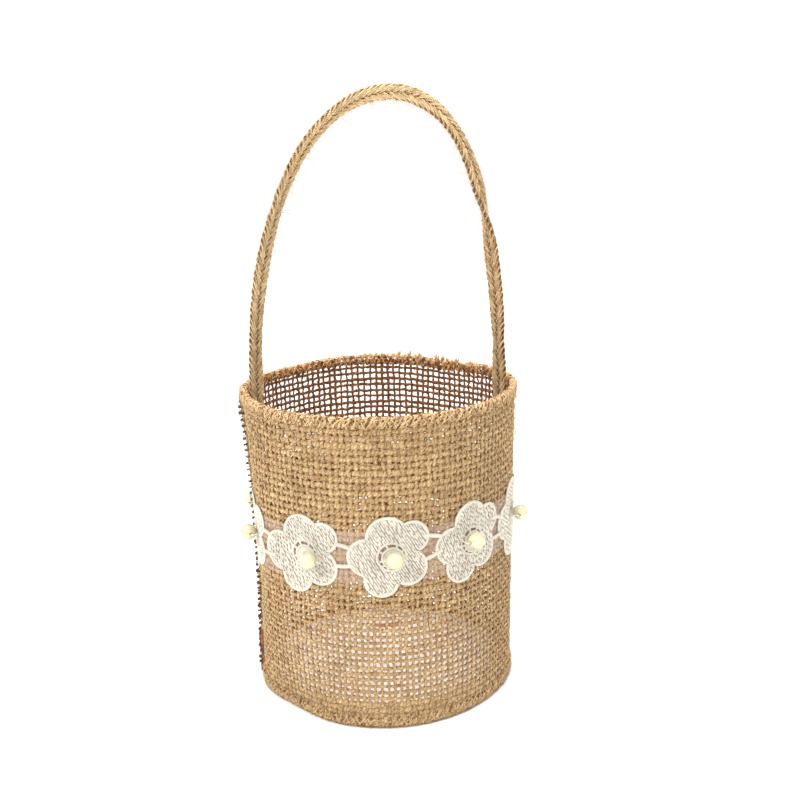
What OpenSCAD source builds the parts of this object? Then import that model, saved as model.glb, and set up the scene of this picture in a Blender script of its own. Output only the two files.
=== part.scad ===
// Flower girl basket: a rolled burlap cylinder with a sewn base, a braided jute handle
// and a band of embroidered lace flowers, each carrying a pearl on a loop of thread.
// Millimetres. +Z is up, the basket stands on z = 0, and its axis is the Z axis.
// Azimuths are measured from the front, -Y, towards +X.

/* [Basket body] */
// Outer radius of the burlap wall
wall_r = 58.5; // [56:0.5:70]
// Thickness of the burlap wall
wall_t = 1.4; // [1:0.1:2]
// Overall height of the rim
rim_z = 136; // [120:1:160]
// Thickness of the burlap disc that closes the base
base_cloth_t = 1.2; // [0.8:0.1:2]
// Thickness of the white stiffening board that lies on the base
board_t = 1.5; // [1:0.1:2.5]

/* [Overlocked edges] */
// Height of the overlocked band on the rim and on the base edge
overlock_h = 4.4; // [3:0.1:6]
// Thickness of the overlock thread layer
overlock_t = 0.55; // [0.4:0.05:0.8]
// How far the side seam stands out of the wall
seam_out = 1.6; // [1.5:0.1:3]
// Thickness of the two seam allowances together
seam_w = 1.5; // [1:0.1:1.6]

/* [Handle] */
// Half the distance between the two feet of the handle
foot_x = 53; // [45:0.5:53]
// Radius of the braided cord
cord_r = 2.6; // [2:0.1:2.8]
// Height of the top of the handle
top_z = 260; // [220:1:300]
// Height at which the cord bends when the handle is folded down
bend_z = 140; // [140:1:144]
// How far the top of the handle leans to the right
lean_x = 7.5; // [0:0.5:10]
// How much wider the handle is at its shoulders than a plain half ellipse
shoulder_x = 7; // [0:0.5:9]
// Length of cord sewn to the inside of the wall, below the bend
sewn_len = 28; // [20:1:40]

/* [Lace band] */
// Number of flowers round the basket
flowers = 10; // [10:1:10]
// Azimuth of the flower nearest the front
first_azimuth = 3.5; // [2:0.5:4]
// Height of the middle of the band
band_z = 77.5; // [60:0.5:100]
// Tilt of the band, rising towards +X
band_tilt = 1.8; // [0:0.1:4]
// How far the flowers are turned from the band's own direction
flower_turn = 0; // [-4:1:4]
// Width of the sheer ribbon behind the flowers
ribbon_w = 24; // [16:1:28]
// Size of the flowers, as a factor
flower_size = 1; // [0.95:0.01:1.02]
// Diameter of a pearl
pearl_d = 7; // [6:0.5:8]

/* [Hidden] */

jute = [0.74, 0.58, 0.36];
jute_cord = [0.72, 0.55, 0.33];
jute_thread = [0.80, 0.62, 0.38];
lace_white = [0.96, 0.95, 0.91];
sheer_white = [0.93, 0.91, 0.92];
pearl_cream = [0.95, 0.93, 0.80];
board_white = [0.95, 0.94, 0.94];

gap = 0.05;              // between layers that are sewn together
thread_r = 0.3;          // thread of the pearls
stitch_r = 0.35;         // half the width of the handle's heavier thread
wall_in = wall_r - wall_t;
wall_bottom = overlock_t + gap;
wall_top = rim_z - overlock_t - gap;
overlock_out = wall_r + gap + overlock_t;
seam_azimuth = first_azimuth - 90;

ribbon_in = wall_r + gap;
ribbon_t = 0.2;
flower_in = ribbon_in + ribbon_t + gap;
flower_t = 0.8;
flower_out = flower_in + flower_t;
// Each petal's direction, its centre's distance from the flower's, and its radius.
petal_list = [[182, 10.3, 8.1], [99, 8.3, 8.9], [40, 11.8, 6.9], [324, 8.1, 8.2], [245, 11.1, 7.6]];
heart_r = 9;             // disc that joins the petals
eye_r = 5.1;             // hole in the middle of a flower
button_r = 4.5;          // embroidered button inside that hole
tab_w = 1.2;             // tabs that hold the button
pitch = 360 / flowers;

pearl_r = pearl_d / 2;
pearl_axis_r = flower_out + 0.3 + pearl_r;
pearl_bore_r = 0.65;
thread_half = pearl_r + 0.7;
// Where each pearl is sewn, from its flower's centre: along the band, and up.
pearl_at = [[0.8, 0.4], [-2.4, 1.8], [-3, 1.4], [1.5, -0.8], [-1, 0.6],
            [0.5, -1.2], [-2, 0.4], [-3, 0.8], [3.5, 2.5], [4.2, -0.5]];

arch_h = top_z - cord_r - bend_z;
arch_steps = 56;
cord_sides = 16;
ball_steps = 5;          // rings of each round end of the moving part of the handle
end_gap = 0.6;           // between a round end and the sewn end below it
end_top = bend_z - cord_r - end_gap;
end_bottom = bend_z - sewn_len;
end_tilt = atan((wall_in - cord_r - 0.3 - foot_x) / (end_top - end_bottom));
stitch_z = [rim_z - 18, rim_z - 9.5];
stitch_y = cord_r + stitch_r + 0.15;
stitch_out = wall_r + stitch_r + 0.1;

$fn = 96;

function azimuth(k) = first_azimuth + pitch * (k - 1);
function band_height(a) = band_z + wall_r * tan(band_tilt) * sin(a);
function band_slope(a) = atan(tan(band_tilt) * cos(a));
function pearl_azimuth(k) = azimuth(k) + pearl_at[k - 1][0] / pearl_axis_r * 180 / PI;

module tube(r_in, r_out, z0, z1) {
    translate([0, 0, z0]) difference() {
        cylinder(r = r_out, h = z1 - z0);
        translate([0, 0, -1]) cylinder(r = r_in, h = z1 - z0 + 2);
    }
}

// A block that stands on the wall at the seam, from radius r0 to r1.
module seam_block(r0, r1, width, z0, z1) {
    rotate([0, 0, seam_azimuth]) translate([-width / 2, -r1, z0]) cube([width, r1 - r0, z1 - z0]);
}

module handle_stitch_holes(side) {
    for (z = stitch_z, y = [-stitch_y, stitch_y])
        translate([side * (wall_in - 2), y, z]) rotate([0, side * 90, 0])
            cylinder(r = stitch_r + 0.3, h = wall_t + 4, $fn = 24);
}

// The rolled wall. Its two edges are turned outwards and sewn together as a standing seam.
module wall_burlap() {
    color(jute) difference() {
        union() {
            tube(wall_in, wall_r, wall_bottom, wall_top);
            seam_block(wall_r - wall_t / 2, wall_r + seam_out, seam_w,
                       overlock_h + 0.4, rim_z - overlock_h - 0.4);
        }
        handle_stitch_holes(1);
        handle_stitch_holes(-1);
    }
}

// Thread that wraps the free edge of the standing seam.
module side_seam_overlock() {
    z0 = overlock_h + 0.4;
    z1 = rim_z - overlock_h - 0.4;
    color(jute_thread) difference() {
        seam_block(wall_r + 0.9, wall_r + seam_out + 0.35, seam_w + 0.7, z0, z1);
        seam_block(wall_r, wall_r + seam_out + gap, seam_w + 2 * gap, z0 - 1, z1 + 1);
    }
}

// Channel of thread over the top edge of the wall.
module rim_overlock() {
    color(jute_thread) rotate_extrude() difference() {
        translate([wall_in - gap - overlock_t, rim_z - overlock_h])
            square([wall_t + 2 * (gap + overlock_t), overlock_h]);
        translate([wall_in - gap, rim_z - overlock_h - 1])
            square([wall_t + 2 * gap, overlock_h + 1 - overlock_t]);
    }
}

// Thread that joins the bottom edge of the wall to the base disc.
module base_overlock() {
    color(jute_thread) rotate_extrude() difference() {
        translate([wall_in, 0]) square([overlock_out - wall_in, overlock_h]);
        translate([wall_in - 1, overlock_t])
            square([wall_t + 1 + gap, overlock_h]);
    }
}

module base_burlap() {
    color(jute) cylinder(r = wall_in - gap, h = base_cloth_t);
}

module base_board() {
    color(board_white) translate([0, 0, base_cloth_t + gap])
        cylinder(r = wall_in - 1, h = board_t);
}

// Centre line of the handle, for an angle from 0 at the right foot to 180 at the left foot.
function arch_point(a) =
    [foot_x * cos(a) + lean_x * pow(sin(a), 2) + shoulder_x * pow(sin(a), 3) * cos(a),
     bend_z + arch_h * sin(a)];
function arch_dir(a) =
    let (d = arch_point(min(a + 0.5, 180)) - arch_point(max(a - 0.5, 0))) d / norm(d);
function ring(centre, dir, r) =
    [for (i = [0 : cord_sides - 1]) let (t = 360 * i / cord_sides)
        [centre[0] + r * cos(t) * dir[1], r * sin(t), centre[1] - r * cos(t) * dir[0]]];
// Rings of a round end at a foot, from its lowest ring up. up is 1 going up, and -1 going down.
function ball_rings(x, up) =
    [for (i = [1 : ball_steps]) let (t = 90 * (1 - i / (ball_steps + 1)))
        ring([x, bend_z - cord_r * sin(t)], [0, up], cord_r * cos(t))];
function reversed(list) = [for (i = [len(list) - 1 : -1 : 0]) list[i]];

// The part of the handle that swings: the arch, with a ball at each foot, centred on the bend.
module handle_braid() {
    rings = concat(
        ball_rings(foot_x, 1),
        [for (i = [0 : arch_steps]) let (a = 180 * i / arch_steps)
            ring(arch_point(a), i == 0 ? [0, 1] : i == arch_steps ? [0, -1] : arch_dir(a), cord_r)],
        reversed(ball_rings(-foot_x, -1)));
    last = len(rings) - 1;
    n = cord_sides;
    color(jute_cord) polyhedron(
        points = [for (r = rings) each r],
        faces = concat(
            [[for (i = [0 : n - 1]) i]],
            [for (j = [0 : last - 1], i = [0 : n - 1])
                [j * n + i, (j + 1) * n + i, (j + 1) * n + (i + 1) % n, j * n + (i + 1) % n]],
            [[for (i = [n - 1 : -1 : 0]) last * n + i]]));
}

function end_x(z) = foot_x + (end_top - z) * tan(end_tilt);

// The end of the cord that is sewn to the inside of the wall, and leans out to meet it.
module handle_end(side) {
    color(jute_cord) translate([side * foot_x, 0, end_top]) rotate([0, 180 - side * end_tilt, 0])
        cylinder(r = cord_r, h = (end_top - end_bottom) / cos(end_tilt));
}

// Two loops of thread round the cord's end, each passing through the open weave of the wall.
module handle_stitches(side) {
    color(jute_thread) for (z = stitch_z) {
        near = end_x(z) - cord_r / cos(end_tilt) - 2 * stitch_r;
        far = stitch_out + stitch_r;
        translate([side * (near + far) / 2, 0, z]) difference() {
            cube([far - near, 2 * (stitch_y + stitch_r), 2 * stitch_r], center = true);
            cube([far - near - 4 * stitch_r, 2 * (stitch_y - stitch_r), 3], center = true);
        }
    }
}

// Sheer ribbon that the flowers are embroidered on. Its two ends meet at the side seam.
module lace_ribbon() {
    color(sheer_white) difference() {
        intersection() {
            tube(ribbon_in, ribbon_in + ribbon_t, 0, rim_z);
            translate([0, 0, band_z]) rotate([0, -band_tilt, 0])
                cube([3 * wall_r, 3 * wall_r, ribbon_w], center = true);
        }
        seam_clearance();
    }
}

// Cuts a flat outline out of the curved layer between two radii, centred on the band at azimuth a.
module on_band(a, r_in, r_out, turn = 0) {
    rotate([0, 0, a]) intersection() {
        tube(r_in, r_out, 0, rim_z);
        translate([0, 0, band_height(a)]) rotate([90, 0, 0])
            linear_extrude(height = 2 * wall_r) rotate(band_slope(a) + turn) children();
    }
}

// A flower's five petals, no two alike. grow makes them larger all round.
module petals(grow = 0) {
    circle(r = heart_r);
    for (petal = petal_list)
        rotate(petal[0]) translate([petal[1] * flower_size, 0]) circle(r = petal[2] * flower_size + grow);
}

module flower_outline() {
    difference() {
        petals();
        difference() {
            circle(r = eye_r);
            circle(r = button_r);
            for (i = [0 : 2]) rotate(30 + 120 * i)
                translate([button_r - 1, -tab_w / 2]) square([eye_r - button_r + 2, tab_w]);
        }
    }
}

// Cuts the band off on both sides of the standing seam.
module seam_clearance() {
    seam_block(wall_r - 1, wall_r + 5, seam_w + 1, 0, rim_z);
}

module lace_flower(k) {
    color(lace_white) difference() {
        on_band(azimuth(k), flower_in, flower_out, flower_turn) flower_outline();
        seam_clearance();
    }
}

// Pairs of bars between neighbouring flowers, up to 0.15 mm from their petals. There are none where the seam parts
// the band.
module lace_bars() {
    bar_w = 0.9;
    bar_y = 3.9;
    color(lace_white) for (k = [1 : flowers]) {
        a = azimuth(k) + pitch / 2;
        if (abs((a - seam_azimuth + 540) % 360 - 180) > pitch / 4)
            for (y = [-bar_y, bar_y]) difference() {
                on_band(a, flower_in, flower_in + 0.8)
                    translate([-5, y - bar_w / 2]) square([10, bar_w]);
                for (j = [k, k + 1])
                    on_band(azimuth(j), flower_in - 1, flower_out + 1, flower_turn) petals(0.15);
            }
    }
}

// Puts a child at a pearl's centre: -Y points out of the basket there, and X runs along the thread.
module at_pearl(k) {
    rotate([0, 0, pearl_azimuth(k)])
        translate([0, -pearl_axis_r, band_height(azimuth(k)) + pearl_at[k - 1][1]]) children();
}

module pearl(k) {
    color(pearl_cream) at_pearl(k) difference() {
        sphere(r = pearl_r);
        rotate([0, 90, 0]) cylinder(r = pearl_bore_r, h = pearl_d + 2, center = true, $fn = 32);
    }
}

// A loop of thread through each pearl, down to the button on both sides of it.
module pearl_threads() {
    leg = pearl_axis_r - flower_out;
    color(lace_white) for (k = [1 : flowers]) at_pearl(k) {
        rotate([0, 90, 0]) cylinder(r = thread_r, h = 2 * thread_half, center = true, $fn = 24);
        for (x = [-thread_half, thread_half]) {
            translate([x, 0, 0]) sphere(r = thread_r, $fn = 24);
            translate([x, 0, 0]) rotate([-90, 0, 0])
                cylinder(r = thread_r, h = leg, $fn = 24);
        }
    }
}

wall_burlap();
side_seam_overlock();
rim_overlock();
base_burlap();
base_overlock();
base_board();
handle_braid();
handle_end(-1);  // handle_end_left
handle_end(1);  // handle_end_right
handle_stitches(-1);  // handle_stitches_left
handle_stitches(1);  // handle_stitches_right
lace_ribbon();
lace_bars();
pearl_threads();
for (k = [1 : flowers]) {
    lace_flower(k);
    pearl(k);
}
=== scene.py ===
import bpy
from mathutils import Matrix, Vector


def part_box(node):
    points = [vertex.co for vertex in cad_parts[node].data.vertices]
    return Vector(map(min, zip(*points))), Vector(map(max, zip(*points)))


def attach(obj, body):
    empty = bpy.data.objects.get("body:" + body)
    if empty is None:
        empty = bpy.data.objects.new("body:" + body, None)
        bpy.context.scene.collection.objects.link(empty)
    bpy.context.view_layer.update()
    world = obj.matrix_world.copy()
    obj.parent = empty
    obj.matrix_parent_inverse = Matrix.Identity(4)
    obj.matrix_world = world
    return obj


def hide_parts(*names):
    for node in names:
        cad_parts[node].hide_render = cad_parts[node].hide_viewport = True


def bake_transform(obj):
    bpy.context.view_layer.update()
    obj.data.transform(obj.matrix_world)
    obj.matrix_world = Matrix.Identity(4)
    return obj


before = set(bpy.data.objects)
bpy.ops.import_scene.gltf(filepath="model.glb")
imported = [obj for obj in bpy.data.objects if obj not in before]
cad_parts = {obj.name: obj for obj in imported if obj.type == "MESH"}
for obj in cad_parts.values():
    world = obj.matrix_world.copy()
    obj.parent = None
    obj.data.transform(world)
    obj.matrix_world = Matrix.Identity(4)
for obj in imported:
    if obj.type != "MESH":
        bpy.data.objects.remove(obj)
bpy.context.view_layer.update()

import math

import bpy
import numpy as np
from mathutils import Matrix, Vector

# Shapes are worked out in millimetres, as in part.scad, and scaled to metres when a mesh is made. All random
# numbers come from seeded generators.
MM = 0.001
# Azimuths are in degrees, from 0 at the front to 90 at the right.
FIRST_AZIMUTH = 3.5  # of the flower in front
FLOWERS = 10
FLOWER_STEP = 360 / FLOWERS
SEAM_AZIMUTH = FIRST_AZIMUTH - 90
BAND_Z = 77.5  # the lace band's middle
BAND_TILT = math.radians(1.8)
RIM_Z = 136.0
CLOTH_LENGTH = 360.7  # round the wall, from one side of the seam to the other
WARPS = 130
WARP_PITCH = CLOTH_LENGTH / WARPS
WEFT_PITCH = 2.85
WEFTS = 47
FIRST_WEFT_Z = 1.9
CRIMP = 0.36  # how far a yarn weaves to each side of the cloth's middle
SKIN = 0.75  # from the cloth's middle to its face
UP = np.array([0.0, 0.0, 1.0])


# ---------------------------------------------------------------- camera

def make_camera():
    """The photograph's viewing angle, with its slight roll."""
    pitch, yaw, roll = (math.radians(a) for a in (16.887, 0.984, 1.381))
    forward = Vector((math.sin(yaw) * math.cos(pitch), math.cos(yaw) * math.cos(pitch), -math.sin(pitch)))
    right = Vector((math.cos(yaw), -math.sin(yaw), 0))
    up = right.cross(forward)
    data = bpy.data.cameras.new("camera")
    data.lens, data.sensor_width, data.shift_y = 50.48, 36, 0.06
    data.clip_start, data.clip_end = 0.01, 20
    cam = bpy.data.objects.new("camera", data)
    bpy.context.scene.collection.objects.link(cam)
    x_axis = right * math.cos(roll) - up * math.sin(roll)
    y_axis = right * math.sin(roll) + up * math.cos(roll)
    cam.matrix_world = (
        Matrix.Translation((0.00064, -0.47853, 0.25117))
        @ Matrix((x_axis, y_axis, -forward)).transposed().to_4x4()
    )
    bpy.context.scene.camera = cam


make_camera()


# ---------------------------------------------------------------- mesh tools

def unit(v):
    return v / np.maximum(np.linalg.norm(v, axis=-1, keepdims=True), 1e-9)


# Between the lengths of two yarns and of two calls, so that no two yarns have the same pattern.
YARN_GAP = 61.7
CALL_GAP = 37.3
# The part of a strip of the painted layer that a yarn fills, and the margin below it.
STRIP_FILL = 0.88
STRIP_MARGIN = 0.06


def side_angles(sides):
    """The angle of each corner of a tube's section: 90 degrees is its outer side."""
    return (np.arange(sides) + 0.5) / sides * math.tau


class Soup:
    """Gathers tubes and surfaces for one mesh. Points are in millimetres. Each corner has a place along and
    round its yarn, for the material, and a place in a strip of the OFBake layer."""

    def __init__(self):
        self.points, self.faces, self.yarn, self.strips, self.inner = [], [], [], [], []
        self.count, self.strip_count, self.length_used = 0, 0, 0.0

    def gather(self, points, quads, yarn, strips, inner):
        self.points.append(points.reshape(-1, 3))
        self.faces.append(quads.reshape(-1, 4))
        self.yarn.append(yarn.reshape(-1, 2))
        self.strips.append(strips.reshape(-1, 2))
        self.inner.append(inner.reshape(-1))
        self.count += inner.size

    def tubes(self, centres, across, out, width, thick, sides=6, ends=True, folds=1, inner=0.0, rough=0.0):
        """K tubes of M rings. centres, across and out are (K, M, 3), and width and thick are full sizes."""
        k, m = centres.shape[:2]
        lumps = 1 + rough * np.random.default_rng(self.count % 9973).normal(0, 1, (k, m, sides))
        width = np.broadcast_to(np.asarray(width, float), (k, m))
        thick = np.broadcast_to(np.asarray(thick, float), (k, m))
        angle = side_angles(sides)
        ring = (
            centres[:, :, None]
            + across[:, :, None] * (np.cos(angle) * lumps * width[..., None] / 2)[..., None]
            + out[:, :, None] * (np.sin(angle) * lumps * thick[..., None] / 2)[..., None]
        )
        index = np.arange(k * m * sides).reshape(k, m, sides) + self.count
        after = np.roll(index, -1, 2)
        quads = np.stack([index[:, :-1], after[:, :-1], after[:, 1:], index[:, 1:]], -1)
        along = np.concatenate(
            [np.zeros((k, 1)), np.cumsum(np.linalg.norm(np.diff(centres, axis=1), axis=2), 1)], 1
        )
        along = along + self.length_used + np.arange(k)[:, None] * YARN_GAP
        self.length_used = float(along.max()) + CALL_GAP
        row = np.arange(m - 1)
        fold = row * folds // (m - 1)
        strip = np.arange(k)[:, None] * folds + fold + self.strip_count
        start = row * folds / (m - 1) - fold
        self.strip_count += k * folds
        side = np.arange(sides)
        near, far, u0, u1, round_, next_, strip = np.broadcast_arrays(
            along[:, :-1, None], along[:, 1:, None], start[:, None], start[:, None] + folds / (m - 1),
            side / sides, (side + 1) / sides, strip[..., None],
        )
        corners = (near, u0, round_), (near, u0, next_), (far, u1, next_), (far, u1, round_)
        yarn = np.stack([np.stack([a, b], -1) for a, _, b in corners], -2)
        bake = np.stack([np.stack([a, strip + STRIP_MARGIN + STRIP_FILL * b], -1) for _, a, b in corners], -2)
        direction = centres[:, 1] - centres[:, 0]
        flipped = (np.cross(across[:, 0], out[:, 0]) * direction).sum() < 0
        if flipped:
            quads, yarn, bake = quads[..., ::-1], yarn[..., ::-1, :], bake[..., ::-1, :]
        value = np.asarray(inner, float)
        if value.ndim < 3:
            value = value[..., None]
        self.gather(ring, quads, yarn, bake, np.broadcast_to(value, (k, m, sides)))
        if ends:
            for at, as_is in ((0, flipped), (-1, not flipped)):
                self.faces.append(index[:, at] if as_is else index[:, at, ::-1])
                self.yarn.append(np.repeat(np.stack([along[:, at], np.zeros(k)], -1), sides, 0))
                self.strips.append(np.repeat(np.stack([np.zeros(k), np.arange(k) + 0.5], -1), sides, 0))

    def rope(self, path, towards, width, thick, **more):
        """Tubes along path, (K, M, 3), whose thickness is measured in the direction towards."""
        direction = unit(np.gradient(path, axis=1))
        across = unit(np.cross(direction, towards))
        self.tubes(path, across, np.cross(across, direction), width, thick, **more)

    def grid(self, points, closed=False, flip=False):
        """A surface of rows by columns. closed joins its last column to its first, and flip turns it over."""
        rows, cols = points.shape[:2]
        index = np.arange(rows * cols).reshape(rows, cols) + self.count
        if closed:
            index = np.concatenate([index, index[:, :1]], 1)
        quads = np.stack([index[:-1, :-1], index[:-1, 1:], index[1:, 1:], index[1:, :-1]], -1)
        r, c = np.meshgrid(np.arange(quads.shape[0]), np.arange(quads.shape[1]), indexing="ij")
        corner = [(r, c), (r, c + 1), (r + 1, c + 1), (r + 1, c)]
        yarn = np.stack([np.stack([b / quads.shape[1], a / quads.shape[0]], -1) for a, b in corner], -2)
        bake = yarn * [1, STRIP_FILL] + [0, self.strip_count + STRIP_MARGIN]
        if flip:
            quads, yarn, bake = quads[..., ::-1], yarn[..., ::-1, :], bake[..., ::-1, :]
        self.strip_count += 1
        self.gather(points, quads, yarn, bake, np.zeros(rows * cols))

    def build(self, name, material, slot, *nodes, body="basket"):
        """The mesh object of all that was gathered. It moves with body and stands for the CAD nodes."""
        mesh = bpy.data.meshes.new(name)
        points = np.concatenate(self.points) * MM
        corners = np.concatenate([f.reshape(-1) for f in self.faces])
        sizes = np.concatenate([np.full(len(f), f.shape[1]) for f in self.faces])
        mesh.vertices.add(len(points))
        mesh.vertices.foreach_set("co", points.astype(np.float32).ravel())
        mesh.loops.add(len(corners))
        mesh.loops.foreach_set("vertex_index", corners.astype(np.int32))
        mesh.polygons.add(len(sizes))
        first_corner = np.concatenate([[0], np.cumsum(sizes)[:-1]])
        mesh.polygons.foreach_set("loop_start", first_corner.astype(np.int32))
        mesh.update(calc_edges=True)
        yarn = mesh.uv_layers.new(name="yarn")
        yarn.data.foreach_set("uv", np.concatenate(self.yarn).astype(np.float32).ravel())
        strips = np.concatenate(self.strips) / [1, self.strip_count]
        mesh.uv_layers.new(name="OFBake").data.foreach_set("uv", strips.astype(np.float32).ravel())
        mesh.uv_layers.active = yarn
        # The value "inner" is painted shade, from 0 to 1, that the jute materials multiply in with their
        # inside colour.
        mesh.attributes.new("inner", "FLOAT", "POINT").data.foreach_set(
            "value", np.concatenate(self.inner).astype(np.float32)
        )
        mesh.shade_smooth()
        mesh.materials.append(material)
        obj = bpy.data.objects.new(name, mesh)
        bpy.context.scene.collection.objects.link(obj)
        if body:
            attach(obj, body)
        if nodes:
            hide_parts(*nodes)
        return obj




def waves(random, x, lengths):
    """A smooth random wobble of about -1 to 1 along x, (K, M), different for each of the K rows."""
    total = np.zeros(x.shape)
    for length in lengths:
        phase = random.uniform(0, math.tau, (x.shape[0], 1))
        total += np.sin(math.tau * x / (length * random.uniform(0.85, 1.15, (x.shape[0], 1))) + phase)
    return total / len(lengths) * 1.2


def bell(x, width):
    """1 at x = 0, falling smoothly to 0 over a few widths."""
    return np.exp(-((x / width) ** 2))


def ramp(x, width):
    """From 0 to 1, smoothly, round x = 0."""
    return 1 / (1 + np.exp(-x / width))


def circle(angle):
    """Points of the unit circle."""
    return np.stack([np.cos(angle), np.sin(angle)], -1)


def curve_through(points, steps):
    """A smooth path through the points, (N, D), with steps points between two of them."""
    p = np.asarray(points, float)
    p = np.concatenate([2 * p[:1] - p[1:2], p, 2 * p[-1:] - p[-2:-1]])
    t = np.arange(steps)[:, None] / steps
    spans = []
    for a, b, c, d in zip(p, p[1:], p[2:], p[3:]):
        square, cube = 2 * a - 5 * b + 4 * c - d, 3 * b - a - 3 * c + d
        spans.append(0.5 * (2 * b + (c - a) * t + square * t**2 + cube * t**3))
    return np.concatenate(spans + [p[-2:-1]])


# ---------------------------------------------------------------- materials

class Nodes:
    """Builds one Principled material from its nodes."""

    def __init__(self, name, **settings):
        self.material = bpy.data.materials.new(name)
        self.material.use_nodes = True
        self.tree = self.material.node_tree
        self.shader = self.tree.nodes["Principled BSDF"]
        for key, value in settings.items():
            self.shader.inputs[key.replace("_", " ")].default_value = value

    def add(self, kind, inputs=None, **settings):
        node = self.tree.nodes.new(kind)
        for key, value in settings.items():
            setattr(node, key, value)
        for key, value in (inputs or {}).items():
            if isinstance(value, bpy.types.NodeSocket):
                self.tree.links.new(value, node.inputs[key])
            else:
                node.inputs[key].default_value = value
        return node

    def math(self, operation, a, b=0.0):
        return self.add("ShaderNodeMath", {0: a, 1: b}, operation=operation).outputs[0]

    def times(self, a, b):
        return self.math("MULTIPLY", a, b)

    def plus(self, a, b):
        return self.math("ADD", a, b)

    def wave(self, a):
        """The size of the sine of a."""
        return self.math("ABSOLUTE", self.math("SINE", a))

    def mix(self, factor, a, b, blend="MIX"):
        inputs = {0: factor, 6: a, 7: b}
        return self.add("ShaderNodeMix", inputs, data_type="RGBA", blend_type=blend).outputs[2]

    def point(self, x, y, z=0.0):
        return self.add("ShaderNodeCombineXYZ", {0: x, 1: y, 2: z}).outputs[0]

    def place(self):
        return self.add("ShaderNodeTexCoord").outputs["Object"]

    def noise(self, vector, scale, detail=2.0, rough=0.5):
        return self.add(
            "ShaderNodeTexNoise", {"Vector": vector, "Scale": scale, "Detail": detail, "Roughness": rough}
        ).outputs[0]

    def spread(self, value, low, high):
        """value from low to high, as 0 to 1."""
        return self.add("ShaderNodeMapRange", {0: value, 1: low, 2: high}).outputs[0]

    def link(self, socket, name):
        self.tree.links.new(socket, self.shader.inputs[name])

    def bump(self, height, strength, distance):
        node = self.add("ShaderNodeBump", {"Height": height, "Strength": strength, "Distance": distance})
        self.link(node.outputs[0], "Normal")


def rgb(r, g, b):
    """An sRGB colour of 0 to 255, as a linear one."""
    return tuple(((c / 255 + 0.055) / 1.055) ** 2.4 if c > 10 else c / 3295 for c in (r, g, b)) + (1.0,)


def twisted(n, twist):
    """Coordinates that run along the fibres of a yarn with one turn in twist millimetres."""
    uv = n.add("ShaderNodeUVMap", uv_map="yarn").outputs[0]
    along, around = n.add("ShaderNodeSeparateXYZ", {0: uv}).outputs[:2]
    angle = n.times(n.plus(around, n.math("DIVIDE", along, twist)), math.tau)
    vector = n.point(n.math("COSINE", angle), n.math("SINE", angle), n.times(along, 0.45))
    return along, angle, vector


def jute(name, light, middle, dark, inside=None, twist=3.2, plies=2, depth=0.16, rust=0.6, grain=0.07,
         groove_shade=0.5):
    """Matte natural yarn: twisted fibres with painted shade in the grooves between the plies, lighter and
    darker lengths, and a few rust-brown stretches. Where a mesh's value "inner" is 1, the colour is multiplied
    by inside, a painted shade colour. twist is the length of a turn and depth the height of the bumps, in
    millimetres. grain is how often the tone changes in one. rust is the strength of the brown stretches, and
    the last argument that of the painted shade in the grooves."""
    n = Nodes(name, Roughness=0.82, Sheen_Weight=0.2, Sheen_Roughness=0.45, Specular_IOR_Level=0.25)
    length, angle, vector = twisted(n, twist)
    streak = n.noise(vector, 3.4, 4, 0.7)
    slow = n.noise(n.point(n.times(length, grain), 3.1), 1.0, 3, 0.6)
    patch = n.noise(n.place(), 38.0, 2)
    tone = n.plus(n.times(streak, 1.15), n.plus(n.times(slow, 0.5), n.times(patch, 0.1)))
    tone = n.spread(tone, 0.64, 1.12)
    colour = n.mix(n.spread(tone, 0.0, 0.5), dark, middle)
    colour = n.mix(n.spread(tone, 0.5, 1.0), colour, light)
    spot = n.noise(n.point(n.times(length, 0.055), 9.7), 1.0, 1)
    colour = n.mix(n.times(n.spread(spot, 0.68, 0.74), rust), colour, rgb(150, 84, 44))
    ply = n.wave(n.times(angle, plies / 2))
    # Painted shade: the colour is multiplied towards rgb(140, 106, 76) in the grooves between the plies.
    ply_gap_shade = n.math("SUBTRACT", 1.0, n.spread(n.plus(ply, n.times(streak, 0.5)), 0.22, 0.75))
    colour = n.mix(n.times(ply_gap_shade, groove_shade), colour, n.mix(1.0, colour, rgb(140, 106, 76), "MULTIPLY"))
    # Painted shade: as far as the mesh's value "inner" goes, the colour is multiplied by the darker inside
    # colour.
    if inside:
        inner = n.add("ShaderNodeAttribute", attribute_name="inner").outputs["Fac"]
        colour = n.mix(n.times(inner, 0.92), colour, n.mix(1.0, colour, inside, "MULTIPLY"))
    n.link(colour, "Base Color")
    n.bump(n.plus(n.times(streak, 0.9), n.times(ply, 0.8)), 0.9, depth * MM)
    return n.material


def cotton(name, light, dark, sheen=0.3):
    """Embroidery thread: fine fibres with a soft lustre."""
    n = Nodes(name, Roughness=0.5, Sheen_Weight=sheen, Sheen_Roughness=0.35, Specular_IOR_Level=0.4,
              Subsurface_Weight=0.12, Subsurface_Radius=(0.6 * MM, 0.5 * MM, 0.4 * MM), Subsurface_Scale=1.0)
    _, angle, vector = twisted(n, 0.9)
    streak = n.noise(vector, 4.0, 3, 0.6)
    patch = n.noise(n.place(), 160.0, 2)
    tone = n.spread(n.plus(n.times(streak, 0.6), n.times(patch, 0.5)), 0.35, 0.75)
    n.link(n.mix(tone, dark, light), "Base Color")
    n.bump(n.plus(streak, n.wave(angle)), 0.6, 0.05 * MM)
    return n.material


# Each jute's inside colour is painted shade, multiplied in where a mesh's value "inner" is high: on wall yarns
# that face inwards or pass under others, inside the rim at the back, and on the braid's undersides and legs.
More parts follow.
